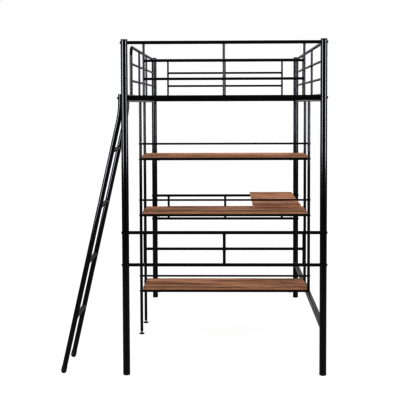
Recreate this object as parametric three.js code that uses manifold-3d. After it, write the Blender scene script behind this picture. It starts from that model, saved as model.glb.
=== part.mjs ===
// A metal loft bed for a single mattress, with shelves and an L-shaped desk under it and a ladder.
// Millimetres. +Y runs along the bed, from the foot end with the ladder to the head end, +X points
// to the wall side, and +Z is up. The pieces are placed from the floor point midway between the two
// foot posts, and the last lines move the origin to the floor under the middle of the whole outline.
import * as THREE from "three";
import { mergeVertices } from "three/addons/utils/BufferGeometryUtils.js";
import Module from "manifold-3d";

const wasm = await Module();
wasm.setup();

// Overall sizes: between post axes, and levels above the floor.
const BED_LENGTH = 1950;
const BED_WIDTH = 1015;
const PLATFORM_Z = 1432; // middle height of the rails round the mattress platform
const GUARD_RISE = 281; // platform rails to the guards' top rail
const POST_ABOVE = 17; // guards' top rail to the top of a post's cap

// Clearances.
const GAP = 0.3; // between two pieces that touch
const PLUG_CLEARANCE = 0.4; // radial, a plug in the tube that it closes
const BOLT_CLEARANCE = 0.4; // radial, a bolt or stem in its hole

// Posts and their plastic caps.
const POST_D = 35;
const POST_WALL = 1.5;
const TOP_CAP_H = 6;
const FOOT_CAP_D = 36;
const FOOT_CAP_H = 12;
const FOOT_CAP_EDGE = 5;
const PLUG_LENGTH = 22;

// Round tubes of the end panels, guards and shelf unit.
const RAIL_D = 16;
const BAR_D = 12;
const TUBE_WALL = 1.2;

// Platform: side rails with a ledge, end rails with a saddle, slats and the beam under them.
const SIDE_RAIL_W = 20;
const SIDE_RAIL_H = 38;
const END_RAIL_H = 25;
const RAIL_WALL = 1.5;
const LEDGE_W = 25;
const LEDGE_T = 3;
const LEDGE_UP = 2; // platform middle to the top of the ledge
const SLAT_COUNT = 9;
const SLAT_W = 25;
const SLAT_H = 12;
const SLAT_END_GAP = 2;
const BEAM_W = 20;
const BEAM_H = 12;
const SADDLE_W = 34;
const SADDLE_REACH = 22;
const SADDLE_T = 3;

// End panels and guards.
const PANEL_INSET = 99.5; // post axis to the outer upright bar
const GUARD_PITCH = 92.25; // between the guards' rails
const LOW_PANEL_H = 167; // between the rails of a lower end panel
const LOW_BAR_D = 14;
const LADDER_ENTRY = 345; // foot post axis to the bent leg of the left guard
const GUARD_BEND_R = 55;
const LEFT_GUARD_BARS = [820, 1305]; // from the foot post axis
const RIGHT_GUARD_BARS = [690, 1310];

// Lower side rail, on the wall side only.
const LOW_RAIL_Z = 247;

// Shelf unit.
const LEG_Y = [865, 1155]; // back legs, then front legs
const LEG_D = 16;
const LEG_END_T = 3; // bottom plate that the levelling foot screws into
const LEG_FOOT_Z = 16;
const FOOT_DISC_D = 32;
const FOOT_DISC_H = 5;
const FOOT_STEM_D = 8;
const FOOT_STEM_TOP = 48;
const SHELF_TOPS = { top_shelf: 1090, desk: 749, low_shelf: 286 };
const BOARD_T = 15;
const BOARD_SIDE_GAP = 1.5;
const BOARD_OVERHANG = 5; // a board's long edge past the leg axes
const SHELF_RAIL_D = 13;
const STOP_RAIL_D = 10;
const STOP_RISE = 71; // board top to the stop rail behind it

// The desk's return, which makes it L-shaped.
const RETURN_W = 300;
const RETURN_SIDE = 29.5; // right post axis to the board's edge
const RETURN_LAP = 77; // how far it lies on the desk board
const RETURN_END = 10; // past the head posts' axes

// Ladder.
const LADDER_D = 25;
const LADDER_WALL = 1.5;
const LADDER_END_T = 4;
const LADDER_FROM_POST = 7.5; // side of the foot post to the axis of the outer rail, along the bed
const LADDER_W = 312; // between the axes of its rails
const LADDER_ABOVE = 20; // platform middle to the top of the ladder
const LADDER_BEND = 67; // platform middle down to the bend
const LADDER_BEND_REACH = 22; // along each leg, from the corner to where the bend starts
const LADDER_SPREAD = 312; // bend to floor, sideways
const RUNG_COUNT = 4;
const RUNG_D = 22;
const LADDER_FOOT_WALL = 1;
const LADDER_FOOT_FLOOR = 2;
const LADDER_FOOT_H = 24;
const BOLT_D = 6;
const BOLT_HEAD_D = 13;
const BOLT_HEAD_H = 4.5;
const BOLT_PAST_WALL = 8;

const POST_SIDES = 24;
const PIPE_SIDES = 12;
const BEND_STEPS = 3;

const POST_X = BED_WIDTH / 2;
const LADDER_Y = [0, LADDER_W].map((y) => POST_D / 2 + LADDER_FROM_POST + y);
const GUARD_TOP_Z = PLATFORM_Z + GUARD_RISE;
const BED_HEIGHT = GUARD_TOP_Z + POST_ABOVE;
const SIDE_RAIL_TOP = PLATFORM_Z + SIDE_RAIL_H / 2;
const SIDE_RAIL_BOTTOM = PLATFORM_Z - SIDE_RAIL_H / 2;
const LOW_PANEL_TOP = SHELF_TOPS.desk - RAIL_D / 2; // the return lies on this rail
const SLAT_BOTTOM = PLATFORM_Z + LEDGE_UP + GAP;
const BEAM_TOP = SLAT_BOTTOM - GAP;
const ENDS = { foot: 0, head: BED_LENGTH };
const SIDES = { left: -1, right: 1 };

const steel = new THREE.MeshStandardMaterial({ color: 0x1b1c20, roughness: 0.35, metalness: 0.6 });
const plastic = new THREE.MeshStandardMaterial({ color: 0x131315, roughness: 0.6, metalness: 0 });
const board = new THREE.MeshStandardMaterial({ color: 0x8a6448, roughness: 0.55, metalness: 0 });
const bolt = new THREE.MeshStandardMaterial({ color: 0x202125, roughness: 0.3, metalness: 0.9 });

const bed = new THREE.Group();

// ---- Solids ----

function solidOf(geometry) {
  geometry.deleteAttribute("normal");
  geometry.deleteAttribute("uv");
  const merged = mergeVertices(geometry, 1e-4);
  const vertProperties = new Float32Array(merged.attributes.position.array);
  const triVerts = new Uint32Array(merged.index.array);
  return new wasm.Manifold(new wasm.Mesh({ numProp: 3, vertProperties, triVerts }));
}

function addNode(name, solid, material) {
  const { vertProperties, triVerts } = solid.getMesh();
  const geometry = new THREE.BufferGeometry();
  geometry.setAttribute("position", new THREE.BufferAttribute(vertProperties, 3));
  geometry.setIndex(new THREE.BufferAttribute(triVerts, 1));
  const faceted = geometry.toNonIndexed();
  faceted.computeVertexNormals();
  const mesh = new THREE.Mesh(faceted, material);
  mesh.name = name;
  bed.add(mesh);
}

const joined = (solids) => solids.reduce((whole, solid) => whole.add(solid));
const without = (solid, cuts) => cuts.reduce((rest, cut) => rest.subtract(cut), solid);

function box(x, y, z) {
  const [[x0, x1], [y0, y1], [z0, z1]] = [x, y, z];
  const geometry = new THREE.BoxGeometry(x1 - x0, y1 - y0, z1 - z0);
  return solidOf(geometry.translate((x0 + x1) / 2, (y0 + y1) / 2, (z0 + z1) / 2));
}

// A round bar between two points.
function bar(from, to, diameter, sides = PIPE_SIDES) {
  const start = new THREE.Vector3(...from);
  const along = new THREE.Vector3(...to).sub(start);
  const turn = new THREE.Quaternion().setFromUnitVectors(
    new THREE.Vector3(0, 1, 0),
    along.clone().normalize(),
  );
  const geometry = new THREE.CylinderGeometry(diameter / 2, diameter / 2, along.length(), sides);
  geometry.applyQuaternion(turn);
  geometry.translate(...start.addScaledVector(along, 0.5).toArray());
  return solidOf(geometry);
}

// A turned piece: an outline of (radius, height) points about an axis that starts at `foot`.
function turned(outline, foot, axis = [0, 0, 1], sides = POST_SIDES) {
  const points = outline.map(([radius, height]) => new THREE.Vector2(radius, height));
  const geometry = new THREE.LatheGeometry(points, sides);
  geometry.applyQuaternion(
    new THREE.Quaternion().setFromUnitVectors(
      new THREE.Vector3(0, 1, 0),
      new THREE.Vector3(...axis).normalize(),
    ),
  );
  return solidOf(geometry.translate(...foot));
}

// A quarter of an ellipse as (radius, height) points, from its widest ring to its pole on the axis.
function domeOutline(radius, height, base, steps) {
  return Array.from({ length: steps + 1 }, (_, i) => {
    const angle = (i / steps) * (Math.PI / 2);
    return [i === steps ? 0 : radius * Math.cos(angle), base + height * Math.sin(angle)];
  });
}

// A flat route given by its corner points, so that a pipe has a ring at each of them and nowhere else.
class CornerRoute extends THREE.Curve {
  constructor(points) {
    super();
    this.points = points;
  }
  indexAt(u) {
    return Math.round(u * (this.points.length - 1));
  }
  getPointAt(u, target = new THREE.Vector3()) {
    return target.copy(this.points[this.indexAt(u)]);
  }
  getTangentAt(u, target = new THREE.Vector3()) {
    const i = this.indexAt(u);
    const here = this.points[i];
    const before = this.points[Math.max(i - 1, 0)];
    const after = this.points[Math.min(i + 1, this.points.length - 1)];
    target.set(0, 0, 0);
    if (before !== here) target.add(here.clone().sub(before).normalize());
    if (after !== here) target.add(after.clone().sub(here).normalize());
    return target.normalize();
  }
}

// A solid pipe along a bent route; `place` turns the route's flat (u, v) into a point of the bed.
function bentBar(route, place, diameter) {
  const points = route.getPoints(BEND_STEPS).map(({ x, y }) => new THREE.Vector3(...place(x, y)));
  const section = new THREE.Shape().absarc(0, 0, diameter / 2, 0, 2 * Math.PI);
  return solidOf(
    new THREE.ExtrudeGeometry(section, {
      steps: points.length - 1,
      curveSegments: PIPE_SIDES / 2,
      extrudePath: new CornerRoute(points),
    }),
  );
}

const bore = (diameter, wall = TUBE_WALL) => diameter - 2 * wall;

// The space that a post takes, with the gap round it: what meets the post is coped with this.
function postSpace(side, y) {
  const x = side * POST_X;
  return bar([x, y, -1], [x, y, BED_HEIGHT + 1], POST_D + 2 * GAP, POST_SIDES);
}

// ---- Posts and caps ----

function addPost(end, side) {
  const foot = [SIDES[side] * POST_X, ENDS[end], 0];
  const at = (z) => [foot[0], foot[1], z];
  const bottom = FOOT_CAP_H + GAP;
  const top = BED_HEIGHT - TOP_CAP_H - GAP;
  const inner = bore(POST_D, POST_WALL);
  const plugR = inner / 2 - PLUG_CLEARANCE;
  const tube = bar(at(bottom), at(top), POST_D, POST_SIDES);
  const hollow = bar(at(bottom - 1), at(top + 1), inner, POST_SIDES);
  addNode(`post_${end}_${side}`, tube.subtract(hollow), steel);

  const capBase = BED_HEIGHT - TOP_CAP_H;
  const topCap = [
    [0, capBase - PLUG_LENGTH],
    [plugR, capBase - PLUG_LENGTH],
    [plugR, capBase],
    ...domeOutline(POST_D / 2, TOP_CAP_H, capBase, 4),
  ];
  addNode(`post_cap_${end}_${side}`, turned(topCap, at(0)), plastic);

  const footR = FOOT_CAP_D / 2;
  const footCap = [
    [0, 0],
    [footR - FOOT_CAP_EDGE, 0],
    [footR - FOOT_CAP_EDGE * 0.3, FOOT_CAP_EDGE * 0.3],
    [footR, FOOT_CAP_EDGE],
    [footR, FOOT_CAP_H],
    [plugR, FOOT_CAP_H],
    [plugR, FOOT_CAP_H + PLUG_LENGTH],
    [0, FOOT_CAP_H + PLUG_LENGTH],
  ];
  addNode(`foot_cap_${end}_${side}`, turned(footCap, at(0)), plastic);
}

// ---- End panels ----

// The three upright bars and the shorter rails between the outer two.
function panelBars(y, lowZ, highZ, shortRails, uprightD, shortRailD) {
  const outer = POST_X - PANEL_INSET;
  const uprights = [-outer, 0, outer].map((x) => bar([x, y, lowZ], [x, y, highZ], uprightD));
  const rails = shortRails.map((z) => bar([-outer, y, z], [outer, y, z], shortRailD));
  return [...uprights, ...rails];
}

const acrossBar = (y, z, diameter) => bar([-POST_X, y, z], [POST_X, y, z], diameter);

function upperPanel(end) {
  const y = ENDS[end];
  const inwards = end === "foot" ? 1 : -1;
  const half = SIDE_RAIL_W / 2;
  const across = [-POST_X, POST_X];
  const railZ = [PLATFORM_Z - END_RAIL_H / 2, PLATFORM_Z + END_RAIL_H / 2];
  const shortRails = [GUARD_TOP_Z - GUARD_PITCH, GUARD_TOP_Z - 2 * GUARD_PITCH];
  const saddleY = [y + inwards * (half - RAIL_WALL), y + inwards * (half + SADDLE_REACH)];
  const saddleTop = BEAM_TOP - BEAM_H - GAP;
  const saddle = box(
    [-SADDLE_W / 2, SADDLE_W / 2],
    saddleY.sort((a, b) => a - b),
    [saddleTop - SADDLE_T, saddleTop],
  );
  const metal = joined([
    acrossBar(y, GUARD_TOP_Z, RAIL_D),
    box(across, [y - half, y + half], railZ),
    ...panelBars(y, PLATFORM_Z, GUARD_TOP_Z, shortRails, BAR_D, BAR_D),
    saddle,
  ]);
  const inside = box(
    [-BED_WIDTH, BED_WIDTH],
    [y - half + RAIL_WALL, y + half - RAIL_WALL],
    [railZ[0] + RAIL_WALL, railZ[1] - RAIL_WALL],
  );
  return without(metal, [
    acrossBar(y, GUARD_TOP_Z, bore(RAIL_D)),
    inside,
    postSpace(-1, y),
    postSpace(1, y),
  ]);
}

function lowerPanel(end) {
  const y = ENDS[end];
  const rails = [LOW_PANEL_TOP, LOW_PANEL_TOP - LOW_PANEL_H];
  const metal = joined([
    ...rails.map((z) => acrossBar(y, z, RAIL_D)),
    ...panelBars(y, rails[1], rails[0], [(rails[0] + rails[1]) / 2], LOW_BAR_D, SHELF_RAIL_D),
  ]);
  return without(metal, [
    ...rails.map((z) => acrossBar(y, z, bore(RAIL_D))),
    postSpace(-1, y),
    postSpace(1, y),
  ]);
}

// ---- Long rails and guards ----

function longRail(side, middleZ) {
  const x = side * POST_X;
  const half = SIDE_RAIL_W / 2;
  const low = middleZ - SIDE_RAIL_H / 2;
  const high = middleZ + SIDE_RAIL_H / 2;
  const tube = box([x - half, x + half], [0, BED_LENGTH], [low, high]);
  const hollow = box(
    [x - half + RAIL_WALL, x + half - RAIL_WALL],
    [-1, BED_LENGTH + 1],
    [low + RAIL_WALL, high - RAIL_WALL],
  );
  return { tube, hollow };
}

function platformRail(side) {
  const { tube, hollow } = longRail(side, PLATFORM_Z);
  const ledgeX = [POST_X - SIDE_RAIL_W / 2 - LEDGE_W, POST_X - SIDE_RAIL_W / 2 + RAIL_WALL];
  const ledgeEnd = POST_D / 2 + SIDE_RAIL_W;
  const ledgeTop = PLATFORM_Z + LEDGE_UP;
  const ledge = box(
    ledgeX.map((x) => side * x).sort((a, b) => a - b),
    [ledgeEnd, BED_LENGTH - ledgeEnd],
    [ledgeTop - LEDGE_T, ledgeTop],
  );
  const holes = side < 0 ? LADDER_Y.map((y) => boltHole(y)) : [];
  return without(tube.add(ledge), [hollow, postSpace(side, 0), postSpace(side, BED_LENGTH), ...holes]);
}

function lowerSideRail() {
  const { tube, hollow } = longRail(1, LOW_RAIL_Z);
  return without(tube, [hollow, postSpace(1, 0), postSpace(1, BED_LENGTH)]);
}

// The lower side rail with the gap round it, which copes the low shelf's rails.
function lowRailSpace() {
  const halfW = SIDE_RAIL_W / 2 + GAP;
  const halfH = SIDE_RAIL_H / 2 + GAP;
  return box(
    [POST_X - halfW, POST_X + halfW],
    [0, BED_LENGTH],
    [LOW_RAIL_Z - halfH, LOW_RAIL_Z + halfH],
  );
}

// The guards' two lower rails, and their upright bars down to the platform rail.
function guardBars(side, startY, uprightYs) {
  const x = side * POST_X;
  const levels = [GUARD_TOP_Z - GUARD_PITCH, GUARD_TOP_Z - 2 * GUARD_PITCH];
  const bottom = SIDE_RAIL_TOP + GAP;
  return {
    rails: levels.map((z) => bar([x, startY, z], [x, BED_LENGTH, z], BAR_D)),
    bores: levels.map((z) => bar([x, startY + RAIL_D, z], [x, BED_LENGTH, z], bore(BAR_D))),
    uprights: uprightYs.map((y) => bar([x, y, bottom], [x, y, GUARD_TOP_Z], BAR_D)),
  };
}

function rightGuard() {
  const { rails, bores, uprights } = guardBars(1, 0, RIGHT_GUARD_BARS);
  const top = (diameter) =>
    bar([POST_X, 0, GUARD_TOP_Z], [POST_X, BED_LENGTH, GUARD_TOP_Z], diameter);
  return without(joined([top(RAIL_D), ...rails, ...uprights]), [
    top(bore(RAIL_D)),
    ...bores,
    postSpace(1, 0),
    postSpace(1, BED_LENGTH),
  ]);
}

// The left guard starts in a leg that bends into the top rail, and leaves the ladder's entry open.
function leftGuard() {
  const { rails, bores, uprights } = guardBars(-1, LADDER_ENTRY, LEFT_GUARD_BARS);
  const place = (y, z) => [-POST_X, y, z];
  const leg = (extra) =>
    new THREE.Path()
      .moveTo(LADDER_ENTRY, SIDE_RAIL_TOP + GAP - extra)
      .lineTo(LADDER_ENTRY, GUARD_TOP_Z - GUARD_BEND_R)
      .absarc(
        LADDER_ENTRY + GUARD_BEND_R,
        GUARD_TOP_Z - GUARD_BEND_R,
        GUARD_BEND_R,
        Math.PI,
        Math.PI / 2,
        true,
      )
      .lineTo(BED_LENGTH, GUARD_TOP_Z);
  return without(joined([bentBar(leg(0), place, RAIL_D), ...rails, ...uprights]), [
    bentBar(leg(1), place, bore(RAIL_D)),
    ...bores,
    postSpace(-1, BED_LENGTH),
  ]);
}

// ---- Slats and beam ----

function slat(index) {
  const firstY = SIDE_RAIL_W / 2;
  const pitch = (BED_LENGTH - 2 * firstY) / (SLAT_COUNT + 1);
  const y = firstY + pitch * (index + 1);
  const endX = POST_X - SIDE_RAIL_W / 2 - SLAT_END_GAP;
  const inside = SLAT_H - 2 * TUBE_WALL;
  const low = SLAT_BOTTOM;
  return box([-endX, endX], [y - SLAT_W / 2, y + SLAT_W / 2], [low, low + SLAT_H]).subtract(
    box(
      [-BED_WIDTH, BED_WIDTH],
      [y - SLAT_W / 2 + TUBE_WALL, y + SLAT_W / 2 - TUBE_WALL],
      [low + TUBE_WALL, low + TUBE_WALL + inside],
    ),
  );
}

function slatBeam() {
  const endY = SIDE_RAIL_W / 2 + GAP;
  const low = BEAM_TOP - BEAM_H;
  const half = BEAM_W / 2;
  return box([-half, half], [endY, BED_LENGTH - endY], [low, BEAM_TOP]).subtract(
    box(
      [-half + TUBE_WALL, half - TUBE_WALL],
      [-1, BED_LENGTH + 1],
      [low + TUBE_WALL, BEAM_TOP - TUBE_WALL],
    ),
  );
}

// ---- Shelf unit ----

const boardBottom = (top) => top - BOARD_T;
const railZUnder = (top) => boardBottom(top) - GAP - SHELF_RAIL_D / 2;

function shelfLeg(side, y) {
  const x = SIDES[side] * POST_X;
  const top = SIDE_RAIL_BOTTOM - GAP;
  const onFloor = side === "left";
  const bottom = onFloor ? LEG_FOOT_Z : LOW_RAIL_Z + SIDE_RAIL_H / 2 + GAP;
  const hollowFrom = onFloor ? bottom + LEG_END_T : bottom - 1;
  const tube = bar([x, y, bottom], [x, y, top], LEG_D).subtract(
    bar([x, y, hollowFrom], [x, y, top + 1], bore(LEG_D)),
  );
  if (!onFloor) return tube;
  const stemHole = FOOT_STEM_D + 2 * BOLT_CLEARANCE;
  return tube.subtract(bar([x, y, bottom - 1], [x, y, hollowFrom + 1], stemHole));
}

function levellingFoot(y) {
  const outline = [
    [0, 0],
    [FOOT_DISC_D / 2, 0],
    [FOOT_DISC_D / 2, FOOT_DISC_H / 2],
    [FOOT_DISC_D / 2 - FOOT_DISC_H / 2, FOOT_DISC_H],
    [FOOT_STEM_D / 2, FOOT_DISC_H],
    [FOOT_STEM_D / 2, FOOT_STEM_TOP],
    [0, FOOT_STEM_TOP],
  ];
  return turned(outline, [-POST_X, y, 0]);
}

// A rail from leg to leg, coped to both.
function shelfRail(y, z, diameter) {
  const leg = (side) =>
    bar([side * POST_X, y, z - RAIL_D], [side * POST_X, y, z + RAIL_D], LEG_D + 2 * GAP);
  const hollow = acrossBar(y, z, bore(diameter));
  return without(acrossBar(y, z, diameter), [hollow, leg(-1), leg(1), lowRailSpace()]);
}

function shelfBoard(top) {
  const endX = POST_X - LEG_D / 2 - BOARD_SIDE_GAP;
  const y = [LEG_Y[0] - BOARD_OVERHANG, LEG_Y[1] + BOARD_OVERHANG];
  return box([-endX, endX], y, [boardBottom(top), top]);
}

function returnBoard() {
  const right = POST_X - RETURN_SIDE;
  const y = [LEG_Y[1] + BOARD_OVERHANG - RETURN_LAP, BED_LENGTH + RETURN_END];
  const bottom = SHELF_TOPS.desk + GAP;
  return box([right - RETURN_W, right], y, [bottom, bottom + BOARD_T]);
}

function addShelves() {
  const legNames = ["back", "front"];
  LEG_Y.forEach((y, i) => {
    for (const side of Object.keys(SIDES)) {
      addNode(`shelf_leg_${legNames[i]}_${side}`, shelfLeg(side, y), steel);
    }
    addNode(`levelling_foot_${legNames[i]}`, levellingFoot(y), plastic);
  });
  for (const [name, top] of Object.entries(SHELF_TOPS)) {
    LEG_Y.forEach((y, i) => {
      addNode(`${name}_rail_${legNames[i]}`, shelfRail(y, railZUnder(top), SHELF_RAIL_D), steel);
    });
    addNode(`${name}_stop_rail`, shelfRail(LEG_Y[0], top + STOP_RISE, STOP_RAIL_D), steel);
    addNode(`${name}_board`, shelfBoard(top), board);
  }
  addNode("desk_return_board", returnBoard(), board);
}

// ---- Ladder ----

const ladderX = -(POST_X + SIDE_RAIL_W / 2 + GAP + LADDER_D / 2);
const ladderTop = PLATFORM_Z + LADDER_ABOVE;
const bendZ = PLATFORM_Z - LADDER_BEND;
const lean = Math.atan(LADDER_SPREAD / bendZ);
const leaningX = (z) => ladderX - (bendZ - z) * Math.tan(lean);
const ladderFootR = LADDER_D / 2 + GAP + LADDER_FOOT_WALL;
const upTheRail = [Math.sin(lean), 0, Math.cos(lean)];

// A point on the leaning part, `along` millimetres up from the middle of the foot's round end.
function onRail(along, y) {
  const x = leaningX(ladderFootR) + along * upTheRail[0];
  return [x, y, ladderFootR + along * upTheRail[2]];
}

function ladderRoute(topZ, fromFoot) {
  const [footX, , footZ] = onRail(fromFoot, 0);
  const bendEnd = bendZ - LADDER_BEND_REACH * Math.cos(lean);
  return new THREE.Path()
    .moveTo(ladderX, topZ)
    .lineTo(ladderX, bendZ + LADDER_BEND_REACH)
    .quadraticCurveTo(ladderX, bendZ, leaningX(bendEnd), bendEnd)
    .lineTo(footX, footZ);
}

// The bolt that fixes a ladder rail to the platform rail, with its head on the outside.
const boltEndX = -(POST_X + SIDE_RAIL_W / 2 - RAIL_WALL - BOLT_PAST_WALL);
const boltHole = (y) =>
  bar([ladderX - LADDER_D, y, PLATFORM_Z], [boltEndX, y, PLATFORM_Z], BOLT_D + 2 * BOLT_CLEARANCE);

const ladderPipe = (y, topZ, fromFoot, diameter) =>
  bentBar(ladderRoute(topZ, fromFoot), (x, z) => [x, y, z], diameter);

function ladderRail(y) {
  const tube = ladderPipe(y, ladderTop, LADDER_FOOT_FLOOR + GAP, LADDER_D);
  const inner = bore(LADDER_D, LADDER_WALL);
  const hollow = ladderPipe(y, ladderTop - LADDER_END_T, LADDER_FOOT_FLOOR - 1, inner);
  return without(tube, [hollow, boltHole(y)]);
}

function ladderFoot(y) {
  const inner = LADDER_D / 2 + GAP;
  const lowerHalf = domeOutline(ladderFootR, -ladderFootR, 0, 6).reverse();
  const outline = [
    ...lowerHalf,
    [ladderFootR, LADDER_FOOT_H],
    [inner, LADDER_FOOT_H],
    [inner, LADDER_FOOT_FLOOR],
    [0, LADDER_FOOT_FLOOR],
  ];
  return turned(outline, onRail(0, y), upTheRail);
}

// A rung, coped to both ladder rails.
function rung(index) {
  const z = (ladderTop / (RUNG_COUNT + 1)) * (index + 1);
  const x = leaningX(z);
  const [from, to] = LADDER_Y.map((y) => [x, y, z]);
  const railSpaces = LADDER_Y.map((y) => ladderPipe(y, ladderTop, 0, LADDER_D + 2 * GAP));
  return without(bar(from, to, RUNG_D), [bar(from, to, bore(RUNG_D)), ...railSpaces]);
}

function ladderBolt(y) {
  const outside = ladderX - LADDER_D / 2 - GAP;
  const shank = boltEndX - outside - 1;
  const outline = [
    [0, -shank],
    [BOLT_D / 2, -shank],
    [BOLT_D / 2, 0],
    ...domeOutline(BOLT_HEAD_D / 2, BOLT_HEAD_H, 0, 3),
  ];
  return turned(outline, [outside, y, PLATFORM_Z], [-1, 0, 0], PIPE_SIDES);
}

function addLadder() {
  const names = ["outer", "inner"];
  LADDER_Y.forEach((y, i) => {
    addNode(`ladder_rail_${names[i]}`, ladderRail(y), steel);
    addNode(`ladder_foot_${names[i]}`, ladderFoot(y), plastic);
    addNode(`ladder_bolt_${names[i]}`, ladderBolt(y), bolt);
  });
  for (let i = 0; i < RUNG_COUNT; i++) addNode(`ladder_rung_${i + 1}`, rung(i), steel);
}

// ---- The whole bed ----

for (const end of Object.keys(ENDS)) {
  for (const side of Object.keys(SIDES)) addPost(end, side);
  addNode(`upper_panel_${end}`, upperPanel(end), steel);
  addNode(`lower_panel_${end}`, lowerPanel(end), steel);
}
for (const [side, sign] of Object.entries(SIDES)) {
  addNode(`platform_rail_${side}`, platformRail(sign), steel);
}
addNode("lower_side_rail", lowerSideRail(), steel);
addNode("guard_left", leftGuard(), steel);
addNode("guard_right", rightGuard(), steel);
for (let i = 0; i < SLAT_COUNT; i++) addNode(`slat_${i + 1}`, slat(i), steel);
addNode("slat_beam", slatBeam(), steel);
addShelves();
addLadder();

const outline = new THREE.Box3().setFromObject(bed);
const middle = outline.getCenter(new THREE.Vector3());
bed.position.set(-middle.x, -middle.y, -outline.min.z);

const loftBed = new THREE.Group();
loftBed.add(bed);
export default loftBed;
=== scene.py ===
import math

import bmesh
import bpy
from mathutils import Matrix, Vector


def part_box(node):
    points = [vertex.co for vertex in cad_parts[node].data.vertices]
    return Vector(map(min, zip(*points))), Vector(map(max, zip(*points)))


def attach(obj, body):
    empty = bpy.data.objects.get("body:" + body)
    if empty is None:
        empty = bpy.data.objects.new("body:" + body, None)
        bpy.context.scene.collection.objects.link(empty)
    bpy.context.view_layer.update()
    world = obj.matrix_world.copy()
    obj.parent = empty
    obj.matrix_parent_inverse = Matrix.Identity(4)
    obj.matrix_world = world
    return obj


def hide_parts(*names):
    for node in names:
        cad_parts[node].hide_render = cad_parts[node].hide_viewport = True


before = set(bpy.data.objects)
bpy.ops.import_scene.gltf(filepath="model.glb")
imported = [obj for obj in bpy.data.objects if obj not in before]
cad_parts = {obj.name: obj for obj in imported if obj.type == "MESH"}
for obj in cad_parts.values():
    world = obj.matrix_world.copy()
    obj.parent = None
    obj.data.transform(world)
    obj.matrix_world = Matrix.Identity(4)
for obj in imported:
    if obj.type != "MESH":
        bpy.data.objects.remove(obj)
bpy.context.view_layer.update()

MM = 0.001
UP = Vector((0, 0, 1))
ACROSS = Vector((1, 0, 0))
ALONG = Vector((0, 1, 0))
BED = "bed"
ENDS = ("foot", "head")
SIDES = ("left", "right")
ROWS = ("back", "front")
SHELVES = ("top_shelf", "desk", "low_shelf")
LADDER_RAILS = ("outer", "inner")
SLAT_COUNT = 9
RUNG_COUNT = 4

# Tubes and bars.
POST_R = 17.5 * MM
POST_WALL = 1.5 * MM
RAIL_R = 8 * MM
BAR_R = 6 * MM
LOW_BAR_R = 7 * MM
LOW_SHORT_RAIL_R = 6.5 * MM
SIDE_RAIL = (20 * MM, 38 * MM)
END_RAIL = (20 * MM, 25 * MM)
RAIL_CORNER = 2.5 * MM
LEDGE = (25 * MM, 3 * MM)
LEDGE_UP = 2 * MM
SADDLE = (34 * MM, 3 * MM, 22 * MM)
PLATE_CORNER = 0.8 * MM
GAP = 0.3 * MM
LADDER_R = 12.5 * MM
RUNG_R = 11 * MM

# Places that no node's box gives. Those along the bed are from the axis of the foot posts.
PANEL_INSET = 99.5 * MM
GUARD_PITCH = 92.25 * MM
LADDER_ENTRY = 345 * MM
GUARD_BEND = 55 * MM
GUARD_BEND_STEPS = 14
GUARD_TAIL = 40 * MM
GUARD_BARS = {"left": (820 * MM, 1305 * MM), "right": (690 * MM, 1310 * MM)}
LADDER_BEND = 67 * MM
LADDER_BEND_REACH = 60 * MM
LADDER_FOOT_R = 13.8 * MM

# Making.
POST_SIDES = 48
TUBE_SIDES = 32
SMALL_SIDES = 36
SCREW_SIDES = 24
WELD_R = 1.7 * MM
WELD_RIPPLE = 0.13
WELD_SINK = 0.4 * MM
WELD_OUT = 0.2
SHARP_ANGLE = math.radians(38)


# ---- Shaders ----


class Value:
    """A socket that Python's operators work on: each operation adds a Math node."""

    def __init__(self, shader, socket):
        self.shader = shader
        self.socket = socket

    def math(self, operation, *values):
        return self.shader.add("ShaderNodeMath", {"operation": operation}, dict(enumerate(values)))

    def __add__(self, other):
        return self.math("ADD", self, other)

    def __radd__(self, other):
        return self.math("ADD", other, self)

    def __sub__(self, other):
        return self.math("SUBTRACT", self, other)

    def __rsub__(self, other):
        return self.math("SUBTRACT", other, self)

    def __mul__(self, other):
        return self.math("MULTIPLY", self, other)

    def __rmul__(self, other):
        return self.math("MULTIPLY", other, self)

    def sine(self):
        return self.math("SINE", self)

    def between(self, low, high):
        """0 below low, 1 above high, and a smooth rise in between."""
        settings = {"interpolation_type": "SMOOTHSTEP"}
        return self.shader.add("ShaderNodeMapRange", settings, {0: self, 1: low, 2: high})


class Nodes:
    """The nodes of a material or of the world."""

    def __init__(self, tree):
        self.tree = tree

    def add(self, kind, settings=None, sockets=None, out=0):
        """Adds a node: its settings first, then the values or links of its sockets."""
        node = self.tree.nodes.new(kind)
        for name, value in (settings or {}).items():
            if name == "stops":
                set_stops(node.color_ramp, value)
            else:
                setattr(node, name, value)
        for name, value in (sockets or {}).items():
            self.put(node.inputs[name], value)
        return Value(self, node.outputs[out])

    def put(self, socket, value):
        if isinstance(value, Value):
            self.tree.links.new(value.socket, socket)
        else:
            socket.default_value = value

    def place(self, stretch=(1, 1, 1)):
        """A place on the object, in metres, stretched by three factors."""
        here = self.add("ShaderNodeTexCoord", out="Object")
        return self.add("ShaderNodeVectorMath", {"operation": "MULTIPLY"}, {0: here, 1: stretch})

    def noise(self, place, scale, detail=2, roughness=0.5, distortion=0):
        sockets = {"Vector": place, "Scale": scale, "Detail": detail, "Roughness": roughness}
        return self.add("ShaderNodeTexNoise", None, {**sockets, "Distortion": distortion})

    def blend(self, factor, first, second):
        """Mixes two colours."""
        settings = {"data_type": "RGBA"}
        return self.add("ShaderNodeMix", settings, {0: factor, 6: first, 7: second}, out=2)

    def ramp(self, value, stops):
        return self.add("ShaderNodeValToRGB", {"stops": stops}, {0: value})

    def bump(self, height, distance, strength=1.0):
        sockets = {"Height": height, "Distance": distance, "Strength": strength}
        return self.add("ShaderNodeBump", None, sockets)

    def split(self, camera_sees, rest_see):
        """One shader for the camera, and another for all other rays."""
        camera_ray = self.add("ShaderNodeLightPath", out="Is Camera Ray")
        return self.add("ShaderNodeMixShader", None, {0: camera_ray, 1: rest_see, 2: camera_sees})

    def output(self, node, shader):
        self.put(self.tree.nodes[node].inputs["Surface"], shader)


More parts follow.
